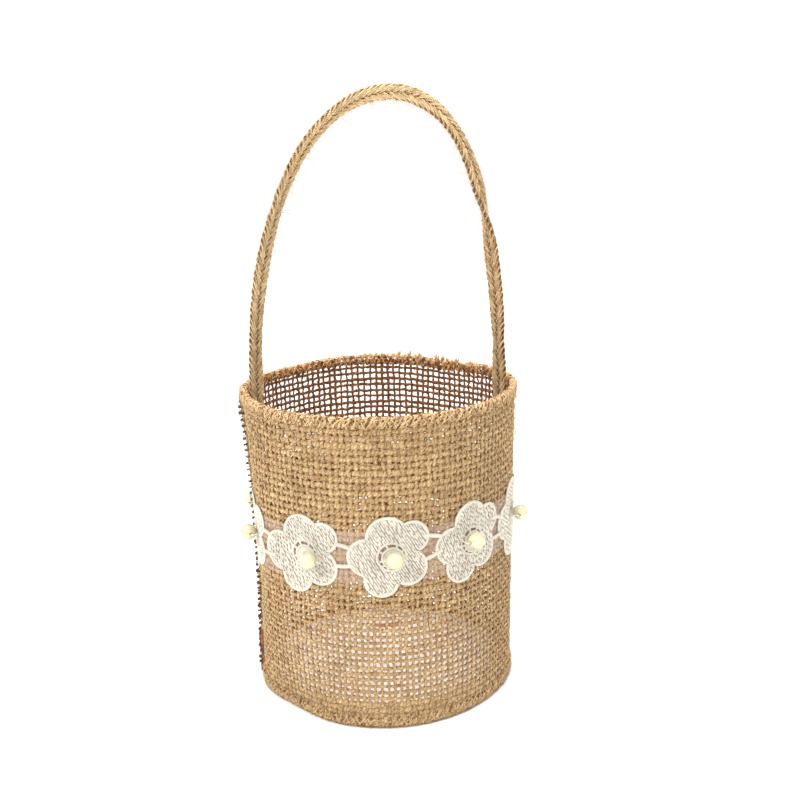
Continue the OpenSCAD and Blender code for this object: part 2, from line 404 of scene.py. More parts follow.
WALL_JUTE = jute("jute wall", rgb(234, 210, 159), rgb(180, 150, 102), rgb(84, 58, 28),
                 inside=rgb(184, 126, 54), groove_shade=0.8)
EDGE_JUTE = jute("jute overlock", rgb(255, 244, 200), rgb(246, 214, 160), rgb(136, 90, 44),
                 inside=rgb(244, 180, 100), twist=2.0, depth=0.1, rust=0.7, grain=0.4, groove_shade=0.85)
# Painted shade: the overlock's dark under-threads stand for the shade in the gaps between the overlock threads
# and for the shadow line under the base's edge.
SHADE_CORE_JUTE = jute("jute overlock core", rgb(164, 114, 58), rgb(104, 66, 32), rgb(46, 27, 12),
                 twist=2.0, depth=0.1, grain=0.3)
SEAM_JUTE = jute("jute seam thread", rgb(132, 94, 56), rgb(84, 54, 30), rgb(44, 28, 16),
                 twist=2.4, depth=0.12)
RUST_JUTE = jute("jute rust strap", rgb(222, 156, 84), rgb(166, 86, 36), rgb(72, 32, 12),
                 twist=2.8, depth=0.14, grain=0.5)
CORD_JUTE = jute("jute braid", rgb(252, 236, 194), rgb(213, 184, 134), rgb(124, 94, 56),
                 inside=rgb(138, 96, 58), twist=2.2, depth=0.12, rust=0.2, grain=0.2)
FIBRE_JUTE = jute("jute fibres", rgb(244, 220, 172), rgb(204, 168, 115), rgb(140, 102, 58),
                  twist=6, plies=1, depth=0.02, rust=0.2, groove_shade=0.0)
LACE = cotton("lace thread", rgb(220, 213, 197), rgb(182, 174, 160))
LACE_EDGE = cotton("lace border thread", rgb(218, 211, 195), rgb(190, 182, 166))
# The lace ground is grey to paint the shade between the stitches that lie on it.
LACE_GROUND_SHADE = cotton("lace ground", rgb(170, 160, 146), rgb(136, 126, 112), sheen=0.1)


# ---------------------------------------------------------------- the wall's shape

def turn(a, b):
    """The angle from b to a, from -180 to 180 degrees."""
    return (a - b + 180) % 360 - 180


def wall_radius(az, z):
    """The radius of the middle of the wall's cloth. It is nearly round and a little wider at the rim. The
    other lines are its hollows and bulges: at the seam and its foot, left and right, and at the base."""
    r = 57.1 + 0.85 * ((z - 45) / 90) ** 2
    r = r - 1.6 * bell(turn(az, -88), 34) * np.sin(np.pi * np.clip(z / 118, 0, 1)) ** 1.5
    r = r + 2.4 * bell(turn(az, -57), 17) * bell(z - 74, 46)
    r = r - 1.3 * bell(turn(az, -88), 15) * np.exp(-z / 60)
    r = r + 0.9 * bell(turn(az, 88), 30) * np.clip(z / 90, 0, 1)
    r = r + 1.5 * bell(turn(az, -89), 12) * bell(z - 136, 14)
    r = r - 3.4 * bell(turn(az, -47), 20) * np.exp(-z / 17)
    r = r - 1.3 * bell(turn(az, 52), 20) * np.exp(-z / 15)
    a = np.radians(az)
    ripple = 0.18 * np.sin(3 * a + 0.7 + z / 60) + 0.14 * np.sin(5 * a + 2.1 - z / 35)
    return r + ripple + 0.08 * np.sin(9 * a + z / 21)


def place(az, r, z):
    """A point from its azimuth, radius and height. The rim sags a little at the back on both sides."""
    a = np.radians(az)
    sag = 1.9 * bell(turn(az, 142), 20) + 0.9 * bell(turn(az, -135), 18)
    sag = sag * (np.clip(z, 0, 140) / RIM_Z) ** 4
    return np.stack(np.broadcast_arrays(r * np.sin(a), -r * np.cos(a), z - sag), -1)


def on_wall(az, z, off):
    """A point off millimetres outside the middle of the wall's cloth."""
    return place(az, wall_radius(az, z) + off, z)


def azimuth(u):
    """The azimuth at a distance u along the cloth from the seam."""
    return SEAM_AZIMUTH + u / CLOTH_LENGTH * 360


def on_cloth(u, z, off):
    """A point of the wall's cloth. u runs along the cloth from the seam, and off is from its middle towards
    its outer face. Beyond u = 0 and u = CLOTH_LENGTH the cloth turns outwards into the standing seam."""
    first = u < CLOTH_LENGTH / 2
    bend, soft = 0.7, 0.4
    t = (np.where(first, u, CLOTH_LENGTH - u) - bend) / soft
    flat = ramp(t, 1)
    size = np.hypot(flat, 1 - flat)
    along = bend + soft * np.logaddexp(0, t) + off * (1 - flat) / size
    rise = 0.26 * np.logaddexp(0, -t) + off * flat / size
    az = azimuth(np.where(first, along, CLOTH_LENGTH - along))
    return place(az, wall_radius(az, z) + rise, z)


def cloth_frame(u, z, off):
    """Unit vectors along the cloth and out of it."""
    along = unit(on_cloth(u + 0.05, z, off) - on_cloth(u - 0.05, z, off))
    return along, unit(on_cloth(u, z, off + 0.05) - on_cloth(u, z, off - 0.05))


def slubs(random, x, chance, most):
    """Yarn thickness, as a factor, with a few thick places."""
    k = x.shape[0]
    at = random.uniform(x.min(), x.max(), (k, 1))
    size = np.where(random.uniform(0, 1, (k, 1)) < chance, random.uniform(0.2, most, (k, 1)), 0)
    thick = size * np.exp(-(((x - at) / random.uniform(3, 8, (k, 1))) ** 2))
    return 1 + 0.08 * waves(random, x, (7, 13, 29)) + 0.1 * waves(random, x, (2.3, 3.4, 4.7)) + thick


# ---------------------------------------------------------------- woven wall

def make_wall():
    """Warp yarns up the wall and weft yarns round it, each passing over and under the others. Every warp has
    three rings of points for each weft it crosses."""
    random = np.random.default_rng(11)

    def full(u, z):
        """How full the yarns are: fullest on the upper front, and open low in front and high at the back."""
        az = azimuth(u)
        facing_front = np.cos(np.radians(az))
        front = np.maximum(facing_front, 0) ** 0.7
        back = np.clip(-2 * facing_front, 0, 1)
        sides = ramp(-38 - turn(az, 0), 5) + ramp(turn(az, 0) - 58, 4)
        closed = np.clip(ramp(z - 56, 6) + 0.5 * sides, 0, 1) + 0.35 * ramp(z - 119, 3)
        closed = np.maximum(closed, 1.5 * ramp(11.5 - z, 1.2))
        middle = ramp(z - 26, 4) * ramp(94 - z, 4)
        return 0.92 + front * (0.05 + 0.42 * closed) + 0.4 * back * middle

    def shifted(u):
        """The warps lie closer together at the front than at the back."""
        return u - 2.6 * (np.sin(np.radians(azimuth(u))) + math.cos(math.radians(FIRST_AZIMUTH)))

    def shade(off):
        """Painted shade: darker where a yarn faces the inside, and where it passes under another."""
        return np.clip(0.56 - 0.9 * np.sin(side_angles(5)) + (0.32 - 0.32 * off / CRIMP)[..., None], 0, 1)

    warps = Soup()
    i = np.arange(-1, WARPS + 1)[:, None]
    z = (np.arange(-1, 3 * WEFTS - 1) * WEFT_PITCH / 3 + FIRST_WEFT_Z)[None]
    z = np.clip(z + 0 * i, 0.9, RIM_Z - 0.8)
    wander = 0.34 * waves(random, z, (11, 23, 47, 110)) + 0.12 * waves(random, z, (4, 6.5))
    u = shifted((i + 0.5) * WARP_PITCH + wander)
    j = (z - FIRST_WEFT_Z) / WEFT_PITCH
    off = CRIMP * np.cos(math.pi * (i + j))
    along, out = cloth_frame(u, z, off)
    fat = slubs(random, z, 0.4, 0.35) * random.uniform(0.84, 1.16, i.shape)
    warps.tubes(on_cloth(u, z, off), along, out, 1.32 * fat * full(u, z), 0.84 * fat, sides=5, ends=False,
                rough=0.12, inner=shade(off))
    cloth = warps.build("wall_burlap_cloth", WALL_JUTE, "burlap", "wall_burlap")

    wefts = Soup()
    j = np.arange(WEFTS)[:, None]
    i = np.arange(-2, WARPS * 3 + 2)[None] / 3 - 1 / 3 + 0 * j
    u = shifted((i + 0.5) * WARP_PITCH)
    wander = 0.32 * waves(random, u, (9, 33, 71, 160)) + 0.12 * waves(random, u, (4, 6.5))
    z = np.clip(FIRST_WEFT_Z + j * WEFT_PITCH + wander, 1.0, RIM_Z - 1.0)
    off = -CRIMP * np.cos(math.pi * (i + j))
    _, out = cloth_frame(u, z, off)
    fat = slubs(random, u, 0.9, 0.4) * random.uniform(0.86, 1.14, j.shape)
    wefts.tubes(on_cloth(u, z, off), np.broadcast_to(UP, out.shape), out, 1.67 * fat * full(u, z), 0.84 * fat,
                sides=5, ends=False, folds=3, rough=0.12, inner=shade(off))
    return cloth, wefts.build("wall_burlap_weft", WALL_JUTE, "burlap", "wall_burlap")


def hairs(soup, start, direction, out, length, width, rise, bend, rings=3):
    """Loose fibres, each from start along direction, lifting off by rise and bending sideways by bend."""
    t = np.linspace(0, 1, rings)[None]
    side = np.cross(out, direction)
    path = (
        start[:, None]
        + direction[:, None] * (length[:, None] * t)[..., None]
        + out[:, None] * (rise[:, None] * t * (2 - t))[..., None]
        + side[:, None] * (bend[:, None] * t**2)[..., None]
    )
    path[..., 2] = np.maximum(path[..., 2], 0.1)
    taper = width[:, None] * np.interp(t, [0, 0.6, 1], [1, 0.9, 0.35])
    soup.rope(path, out[:, None], taper, taper, sides=3)


def make_fuzz():
    """Short loose fibres over both faces of the wall, most of them at the front and the back."""
    random = np.random.default_rng(23)
    pieces = []
    for name, count, face in (("outer_1", 12000, 1), ("outer_2", 12000, 1), ("inner", 4000, -1)):
        soup = Soup()
        u = random.uniform(1, CLOTH_LENGTH - 1, count)
        ahead = np.abs(np.cos(np.radians(azimuth(u))))
        u = u[random.uniform(0, 1, count) < 0.3 + 0.7 * ahead]
        count = len(u)
        z = random.uniform(2, RIM_Z - 3, count)
        off = face * random.uniform(0.4, 0.85, count)
        start = on_cloth(u, z, off)
        along, out = cloth_frame(u, z, off)
        angle = np.where(random.uniform(0, 1, count) < 0.6, 0, math.pi / 2) + random.normal(0, 0.55, count)
        angle = angle + math.pi * random.integers(0, 2, count)
        direction = along * np.cos(angle)[:, None] + UP * np.sin(angle)[:, None]
        hairs(soup, start, direction, out * face, random.uniform(0.8, 3.2, count),
              random.uniform(0.08, 0.27, count), random.uniform(-0.3, 0.3, count),
              random.normal(0, 0.8, count))
        pieces.append(soup.build("wall_loose_fibres_" + name, FIBRE_JUTE, "burlap"))
    return pieces


# ---------------------------------------------------------------- overlocked edges

def wraps(random, count, half_out, half_up, middle, slant, phase, length=CLOTH_LENGTH, samples=14):
    """One thread wound count times over an edge: its place along the edge, to the side of the cloth's middle,
    and up the edge."""
    a = np.arange(count * samples + 1) / samples * math.tau + phase
    loop = a / math.tau
    uneven = random.normal(0, 0.12, int(loop.max()) + 3)
    number = np.arange(len(uneven))
    c, s = np.cos(a), np.sin(a)
    along = length * (a - phase) / (math.tau * count) + slant * s * np.tanh(2.5 * c)
    along = along + 2 * np.interp(loop, number, uneven)
    off = half_out * np.sign(c) * np.abs(c) ** 0.55
    up = middle + half_up * np.sign(s) * np.abs(s) ** 0.7 + np.interp(loop, number, uneven[::-1])
    return along, off, up


def make_ring_overlock(name, middle, seed):
    """Threads wound many times over the rim or the base edge at several slants, round dark under-threads whose
    colour paints the shade between them, with loose fibres. At the back their inner side has painted shade,
    and at the back of the rim they gather into a lump at each warp. A dark cord along the base's lower edge
    paints the shadow line under it."""
    random = np.random.default_rng(seed)
    rim = name == "rim_overlock"
    half_up = 2.1
    # The first threads lie under the others and are dark to paint the shade in their gaps.
    # Each thread's number of loops, slant, reach to each side of the cloth, and width.
    shade_core = ((110, 0.5, 0.95, 1.2), (90, -1.0, 0.9, 1.2))
    cover = ((190, 1.3, 1.12, 0.48), (150, -1.8, 1.2, 0.46), (80, 2.7, 1.26, 0.42), (60, 0.2, 1.3, 0.42))
    round_edge = np.linspace(SEAM_AZIMUTH, SEAM_AZIMUTH + 359, 1200 if rim else 500)[None]
    for part, threads, material in (("shade_core", shade_core, SHADE_CORE_JUTE), ("thread", cover, EDGE_JUTE)):
        soup = Soup()
        deeper, thinner = (0.25, 0.45) if part == "shade_core" else (0, 0.5)
        for count, slant, half_out, width in threads:
            phase = random.uniform(0, 6)
            along, off, up = wraps(random, count, half_out, half_up, middle, slant, phase, samples=12)
            az = azimuth(along)
            back = np.clip(-3 * np.cos(np.radians(az)), 0, 1)
            if rim:
                notch = (0.5 + 0.7 * back) * np.abs(np.sin(math.pi * along / WARP_PITCH)) ** 3 + deeper
                up = np.minimum(up, RIM_Z + 0.25 - notch)
            else:
                up = np.maximum(up, 0.65)
            off = off * (1 + 0.16 * waves(random, along[None], (1.3, 2.1, 5))[0])
            path = on_wall(az, up, off)[None]
            centre = on_wall(az, np.full_like(up, middle), 0)[None]
            fat = width * (1 + 0.25 * waves(random, along[None], (0.9, 3, 7)))
            if rim:
                lumps = 0.9 * np.cos(math.tau * along / WARP_PITCH) - thinner
                fat = fat * np.maximum(1 + lumps * back, 0.1)
            # Painted shade: at the back, the threads' inner side is darkened by the inside colour.
            inner = (back * np.clip(0.5 - off, 0, 1))[None]
            soup.rope(path, unit(path - centre), fat, fat * 0.8, sides=5, folds=count // 5, inner=inner,
                      rough=0.08)
        if rim and part == "thread":
            ahead = np.clip(np.cos(np.radians(round_edge)) * 3 + 1, 0, 1)
            scallop = ahead * np.abs(np.sin(math.pi * (round_edge - SEAM_AZIMUTH) / 360 * WARPS))
            for offset in (-0.45, 0.45):
                z = RIM_Z - 0.3 + 0.2 * waves(random, round_edge, (5, 11)) - 0.6 * scallop
                path = on_wall(round_edge, z, offset + 0.2 * waves(random, round_edge, (3, 7)))
                soup.rope(path, UP, 0.55, 0.5, sides=5, folds=12)
        # Painted shadow: a dark cord along the base's lower edge stands for the thin shadow line beneath it.
        if not rim and part == "shade_core":
            path = on_wall(round_edge, 0.62 + 0.1 * waves(random, round_edge, (5, 11)), 0.8)
            soup.rope(path, UP, 1.1, 0.8, sides=6, folds=12)
        soup.build(name + "_" + part, material, "jute_thread", name)

    soup = Soup()
    count = 4200
    u = random.uniform(0, CLOTH_LENGTH, count)
    z = np.clip(middle + random.normal(0, 1.3, count), 0.6, RIM_Z - 0.3)
    face = np.where(random.uniform(0, 1, count) < (0.75 if rim else 1.0), 1, -1)
    az = azimuth(u)
    start = on_wall(az, z, face * random.uniform(1.1, 1.5, count))
    along = unit(on_wall(az + 0.1, z, 0) - on_wall(az - 0.1, z, 0))
    out = unit(place(az, np.ones(count), np.zeros(count))) * face[:, None]
    angle = random.uniform(0, math.tau, count)
    direction = along * np.cos(angle)[:, None] + UP * np.sin(angle)[:, None]
    hairs(soup, start, direction, out, random.uniform(0.8, 2.6, count), random.uniform(0.1, 0.34, count),
          random.uniform(-0.2, 0.45, count), random.normal(0, 0.6, count))
    soup.build(name + "_fibres", FIBRE_JUTE, "jute_thread")


def make_seam_overlock():
    """Thread round the standing seam's free edge: dark loops, thinner high on the seam, and a loose strap of
    rust-coloured and dark yarns low down. Each loop is nearly level, with its outer end a little lower."""
    random = np.random.default_rng(37)
    soup = Soup()
    z0, z1 = 5.0, RIM_Z - 5.0
    for count, width, slant, phase in ((44, 1.05, 0.5, 0.4), (60, 0.4, -0.8, 2.0)):
        along, off, up = wraps(random, count, 0.95, 1.35, 1.6, slant, phase, length=z1 - z0)
        z = np.clip(z0 + along + 0.17 * (z1 - z0) / count * off - 0.3 * up, z0 - 1, z1)
        r = wall_radius(SEAM_AZIMUTH, z) + up
        path = place(SEAM_AZIMUTH + np.degrees(off / r), r, z)[None]
        centre = place(SEAM_AZIMUTH, wall_radius(SEAM_AZIMUTH, z) + 1.2, z)[None]
        fat = width * (1 + 0.4 * waves(random, along[None], (5, 8))) * (1 - 0.5 * bell(z - 98, 20))
        fat = np.maximum(fat, 0.2)
        soup.rope(path, unit(path - centre), fat, fat * 0.8, sides=6, folds=count // 4)
    soup.build("side_seam_thread", SEAM_JUTE, "jute_thread", "side_seam_overlock")

    # Each strand's height above the cloth, width, swing to one side at its middle, and lower end.
    rust = ((1.4, 1.6, 0, 7.5), (1.3, 0.9, 11, 1.2))
    dark = ((0.3, 0.5, 0, 1.2), (2.3, 0.6, 0, 0.9), (1.0, 0.8, 13.5, 1.0))
    for name, material, strands in (("rust_strap", RUST_JUTE, rust), ("dark_strap", SEAM_JUTE, dark)):
        soup = Soup()
        for rise, width, swing, foot in strands:
            z = np.linspace(foot, 21.5, 60)[None]
            away = np.sin(math.pi * np.clip((z - 1.2) / 12.5, 0, 1))
            r = wall_radius(SEAM_AZIMUTH, z) + rise + 0.25 * waves(random, z, (5, 9, 17)) - 0.3 * away
            sideways = 1.5 + 0.3 * waves(random, z, (4, 8, 15)) + swing * away
            az = SEAM_AZIMUTH + np.degrees(sideways / r)
            path = place(az, r, z)
            fat = width * (1 + 0.25 * waves(random, z, (3, 6)))
            across = place(az + 90, np.ones_like(r), np.zeros_like(r))
            soup.rope(path, across, fat, 0.6, sides=7, folds=4, rough=0.14)
        soup.build("side_seam_" + name, material, "jute_thread")


def make_frays():
    """Ends of the warp yarns that stand out of the rim's overlocking, longest at the back right."""
    random = np.random.default_rng(41)
    soup = Soup()
    fibres = 15
    count = WARPS * fibres
    u = (np.repeat(np.arange(WARPS), fibres) + 0.5) * WARP_PITCH + random.normal(0, 0.3, count)
    height = np.repeat(random.uniform(0.2, 1.0, WARPS), fibres) * random.uniform(0.6, 1.1, count)
    height = height * (0.15 + 0.85 * bell(turn(azimuth(u), 152), 34))
    root = np.full(count, RIM_Z - 1.2)
    start = on_cloth(u, root, random.normal(0, 0.5, count))
    along, out = cloth_frame(u, root, 0)
    sideways = along * random.normal(0, 0.25, count)[:, None]
    outwards = out * random.normal(0, 0.25, count)[:, None]
    hairs(soup, start, unit(UP + sideways + outwards), out, 1.3 + 3.8 * height,
          random.uniform(0.24, 0.6, count), random.normal(0, 0.25, count), random.normal(0, 0.4, count),
          rings=4)
    soup.build("rim_frayed_ends", FIBRE_JUTE, "jute_thread")


# ---------------------------------------------------------------- base

def make_base():
    """The woven disc of the base, and the white stiffening board that lies on it."""
    random = np.random.default_rng(53)
    soup = Soup()
    pitch, middle, radius, yarns = 2.8, 0.72, 55.6, 40
    number = np.arange(yarns)[:, None]
    centre = (yarns - 1) / 2
    line = (number - centre) * pitch
    half = np.sqrt(radius**2 - line**2)
    for turned in (0, 1):
        x = half * np.linspace(-1, 1, 117)
        y = line + 0.25 * waves(random, x, (19, 37, 80))
        z = middle + 0.27 * (-1) ** (number + turned) * np.cos(math.pi * (x / pitch + centre))
        fat = slubs(random, x, 0.4, 0.4)
        if turned:
            x, y = y, x
        scale = (wall_radius(np.degrees(np.arctan2(x, -y)), 2.0) - 0.9) / (radius + 0.8)
        path = np.stack([x * scale, y * scale, z], -1)
        # Painted shade: inner=0.25 darkens all of the base cloth a little with the wall's inside colour.
        soup.rope(path, UP, 1.4 * fat, 0.62, sides=5, inner=0.25)
    cloth = soup.build("base_burlap_cloth", WALL_JUTE, "burlap", "base_burlap")

    n = Nodes("white board", Roughness=0.62, Specular_IOR_Level=0.35)
    where = n.place()
    fibre = n.noise(where, 900.0, 4, 0.6)
    tone = n.spread(n.plus(n.times(fibre, 0.5), n.noise(where, 60.0, 2)), 0.5, 1.0)
    n.link(n.mix(tone, rgb(218, 211, 207), rgb(232, 226, 222)), "Base Color")
    n.bump(fibre, 0.25, 0.05 * MM)
    soup = Soup()
    az = np.linspace(0, 360, 160, endpoint=False)
    edge = wall_radius(az, 2.0) - 1.5
    low, high, bevel = 1.42, 2.78, 0.18
    # The board's outline, as a share of its radius and a height.
    rows = [(0, low), (0.5, low), (0.985, low), (1, low + bevel)]
    rows += [(1, high - bevel), (0.985, high), (0.5, high), (0, high)]
    soup.grid(np.stack([place(az, edge * f + 0.001, h) for f, h in rows]), closed=True, flip=True)
    soup.build("base_white_board", n.material, "board", "base_board")
    return cloth


# ---------------------------------------------------------------- handle

def arch(a):
    """The handle's centre line in the XZ plane, for an angle from 0 at its right foot to pi at its left."""
    s, c = np.sin(a), np.cos(a)
    return np.stack([53 * c + 7.5 * s**2 + 7 * s**3 * c, 0 * a, 140 + 117.4 * s], -1)


def handle_line():
    """Even points of the whole cord, from its left sewn end to its right one, and their distance along it."""
    end = np.array([(54.2, 0.5, 110.5), (54.1, 0.3, 118), (53.7, 0, 127), (53.2, 0, 134)])
    left = curve_through(end * [-1, 1, 1], 8)
    right = curve_through(end[::-1], 8)
    line = np.concatenate([left, arch(np.linspace(math.pi, 0, 400)), right])
    reach = np.concatenate([[0], np.cumsum(np.linalg.norm(np.diff(line, axis=0), axis=1))])
    even = np.linspace(0, reach[-1], int(reach[-1] / 0.75))
    return np.stack([np.interp(even, reach, line[:, k]) for k in range(3)], -1), even


def smoothed(values, times):
    """The values with each one evened out with its neighbours."""
    values = np.copy(values)
    for _ in range(times):
        values[1:-1] = (values[:-2] + 2 * values[1:-1] + values[2:]) / 4
    return values


def handle_frame():
    """The cord's points, their distance along it, and the directions of its width, its depth and its length.
    The braid is flat and twists slowly along the cord."""
    line, reach = handle_line()
    line = smoothed(line, 6)
    direction = unit(np.gradient(line, axis=0))
    width = unit(np.cross(direction, [0.0, -1.0, 0.0]))
    depth = np.cross(width, direction)
    # Distance along the cord in millimetres and its turn in degrees, judged from the photo.
    turns = ((0, -60), (26, -24), (44, -50), (72, -32), (103, -58), (150, -48), (180, 4), (203, 50),
             (230, 38), (256, 142), (280, 149), (297, 118), (312, 148), (340, 120))
    t = np.radians(smoothed(np.interp(reach, *zip(*turns)), 12))[:, None]
    c, s = np.cos(t), np.sin(t)
    return line, reach, width * c + depth * s, depth * c - width * s, direction


def make_handle():
    """A flat braid of nine strands of two yarns. On each half of a face the strands that run one way are on
    top, so they meet along its middle as a row of Vs."""
    random = np.random.default_rng(61)
    line, reach, width, depth, direction = handle_frame()
    soup = Soup()
    strands, pitch, swing, lift, yarn, apart = 9, 24.0, 2.55, 0.9, 0.8, 0.31
    sides = 6
    angle = side_angles(sides)
    # Painted shade: the cord is darker down its legs, most on the right, where less light falls.
    painted_leg_shade = 0.45 * np.clip(line[:, 0] / 50, 0, 1) + 0.2 * np.clip(-line[:, 0] / 50, 0, 1)
    for strand in range(strands):
        phase = math.tau * (reach / pitch + strand / strands)
        zigzag = 2 / math.pi * np.arcsin(0.985 * np.sin(phase)) / 0.89
        side = swing * (0.35 * zigzag + 0.65 * np.sin(phase))
        top = np.tanh(2.4 * np.sin(2 * phase))
        slope = np.arctan(np.gradient(side, reach))
        edge = np.sin(phase) * (1 - np.abs(top))
        shade = 0.55 - 0.8 * (top[:, None] * np.sin(angle) + edge[:, None] * np.cos(angle))
        for shift in (-apart, apart):
            lateral = side + shift * np.cos(slope) + 0.16 * waves(random, reach[None], (4, 7, 15, 33))[0]
            height = lift * top + 0.16 * waves(random, reach[None], (4, 9))[0]
            path = line + width * lateral[:, None] + depth * height[:, None]
            path = path - direction * (shift * np.sin(slope))[:, None]
            fat = yarn * (1 + 0.2 * waves(random, reach[None], (3, 7, 19)))
            # tone is painted shade on the strands' undersides, sides and legs, with every third strand a
            # darker yarn.
            tone = np.clip(shade + 0.25 * (strand % 3 == 0) + painted_leg_shade[:, None], 0, 1)
            soup.rope(path[None], depth[None], fat, fat * 1.1, sides=sides, folds=12, inner=tone[None],
                      rough=0.07)
    nodes = ("handle_braid", "handle_end_left", "handle_end_right")
    cord = soup.build("handle_braided_cord", CORD_JUTE, "jute_braid", *nodes, body=None)
    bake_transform(cord)

    soup = Soup()
    upper = (line[:, 2] > 152).nonzero()[0]
    free = 184  # below this height the cord lies over the rim when the handle is down: its fibres stay short
    for count, long, thin, stray in ((5200, 2.0, 0.13, 0), (620, 6.0, 0.08, 1)):
        pick = upper[random.integers(0, len(upper), count)]
        inward = unit(np.array([4.0, 0, 175.0]) - line[pick])
        c, s = circle(random.uniform(0, math.tau, count)).T[..., None]
        away = unit(width[pick] * c * 3.1 + depth[pick] * s)
        if stray:
            away = unit(away + 1.5 * inward)
        ahead = random.normal(0, 1.6 - stray, count)[:, None]
        heading = unit(direction[pick] * ahead + away * random.uniform(0.1, 1, count)[:, None])
        normal = unit(np.cross(heading, np.cross(away, heading)) + 1e-4)
        start = line[pick] + width[pick] * c * 2.7 + depth[pick] * s * 0.8
        size = long * random.uniform(0.4, 1.1, count)
        clear = (start[:, 2] > free) | (np.abs(start[:, 1] + heading[:, 1] * size) < 1.5) & (stray == 0)
        start, heading, normal, size = start[clear], heading[clear], normal[clear], size[clear]
        count = len(size)
        loose = np.where(start[:, 2] > free, 0.5 + stray, 0.2)
        hairs(soup, start, heading, normal, size, thin * random.uniform(0.8, 1.4, count),
              0.6 * loose * random.normal(0, 1, count), loose * random.normal(0, 1, count), rings=4)
    soup.build("handle_loose_fibres", FIBRE_JUTE, "jute_braid", body="handle")


def make_handle_stitches():
    """Four loops of thread round each sewn end of the cord and through the wall."""
    near = 50.7  # from the middle of the basket to the cord's inner face
    for side, name in ((-1, "left"), (1, "right")):
        random = np.random.default_rng(70 + side)
        soup = Soup()
        for z, lean in ((113.5, 1.2), (118.2, -1.4), (122.8, 1.3), (127.2, -1.0)):
            outer = float(wall_radius(90.0 * side, z)) + 1.1
            loop = [(near, -3.4), (near - 0.5, -1.4), (near - 0.5, 1.4), (near, 3.4), (55.4, 4.1),
                    (outer, 3.2), (outer, 0), (outer, -3.2), (55.4, -4.1), (near, -3.4)]
            points = [(side * x, y, z + lean * y / 3.4 + random.normal(0, 0.15)) for x, y in loop]
            path = curve_through(points, 5)[None]
            soup.rope(path, unit(path - [side * 56.0, 0, z]), 0.62, 0.55, sides=6)
        soup.build("handle_sewing_" + name, EDGE_JUTE, "jute_thread", "handle_stitches_" + name)


# ---------------------------------------------------------------- lace

# The flower's petals: direction in degrees, distance from the middle, and radius.
PETALS = ((182, 10.3, 8.1), (99, 8.3, 8.9), (40, 11.8, 6.9), (324, 8.1, 8.2), (245, 11.1, 7.6))
# How far a flower is turned, in degrees. The others have a small random turn.
FLOWER_TURN = {1: 0, 2: -7, 9: 2, 10: 0}
# How far a flower is sewn on to the left of its even place, in degrees, and its longer left petal.
FLOWER_SHIFT = {9: 2.6, 10: 0.8}
LONG_PETAL = {10: 1.6}
LAST_FLOWER = 9  # beside the seam, where the band's end is cut off
BAND_RADIUS = 58.5
HOLE = 5.8  # the radius of the ring between the petals and the button


def band_height(az):
    """The height of the lace band's middle."""
    return BAND_Z + BAND_RADIUS * math.tan(BAND_TILT) * np.sin(np.radians(az))


def on_band(az, z, x, y, h):
    """x along the band and y up it, from the middle of a flower at az and z. h is above the cloth's face."""
    return on_wall(az + np.degrees(x / 58.3), z + y, SKIN + h)


def outline(angle, petals):
    """How far a flower reaches at an angle. petals has each petal's angle, distance and radius."""
    reach = np.zeros_like(angle)
    for at, away, size in petals:
        d = angle - at
        inside = size**2 - (away * np.sin(d)) ** 2
        petal = np.where(inside > 0, away * np.cos(d) + np.sqrt(np.maximum(inside, 0)), 0)
        reach = np.maximum(reach, petal)
    return reach


def stitches(soup, start, stop, low, high, width, thick, to_band, rings=6):
    """Short threads from start to stop, (K, 2), that rise in between and go into the cloth at both ends."""
    t = np.linspace(0, 1, rings)[None]
    x, y = np.moveaxis(start[:, None] * (1 - t[..., None]) + stop[:, None] * t[..., None], -1, 0)
    bulge = np.minimum(1, np.minimum(t, 1 - t) * 4.5) ** 0.6
    height = low + (high - low) * bulge
    path = to_band(x, y, height)
    taper = 0.6 + 0.4 * bulge
    soup.rope(path, unit(to_band(x, y, height + 0.1) - path), width * taper, thick * taper, sides=6)


def petal_rows(random, reach_at):
    """The two ends of each stitch of the petals: slanting rows, each cut into stitches of uneven length."""
    along = circle(math.radians(-62))
    across = np.array([-along[1], along[0]])
    s = np.arange(-19, 19, 0.1)
    starts, stops = [], []
    for row, c in enumerate(np.arange(-18.5, 18.6, 0.94)):
        x, y = np.outer(along, s) + across[:, None] * (c + random.normal(0, 0.06))
        away = np.hypot(x, y)
        inside = (away < reach_at(x, y) - 0.6) & (away > HOLE)
        stitch = np.floor((s + row * 1.9 + 0.5 * np.sin(s + row) + random.normal(0, 0.35)) / 3.7)
        cut = np.flatnonzero(np.diff(np.where(inside, stitch, -999)) != 0) + 1
        for part in np.split(np.arange(len(s)), cut):
            if inside[part[0]] and len(part) > 6:
                starts.append((x[part[0]], y[part[0]]))
                stops.append((x[part[-1]], y[part[-1]]))
    return np.array(starts), np.array(stops)


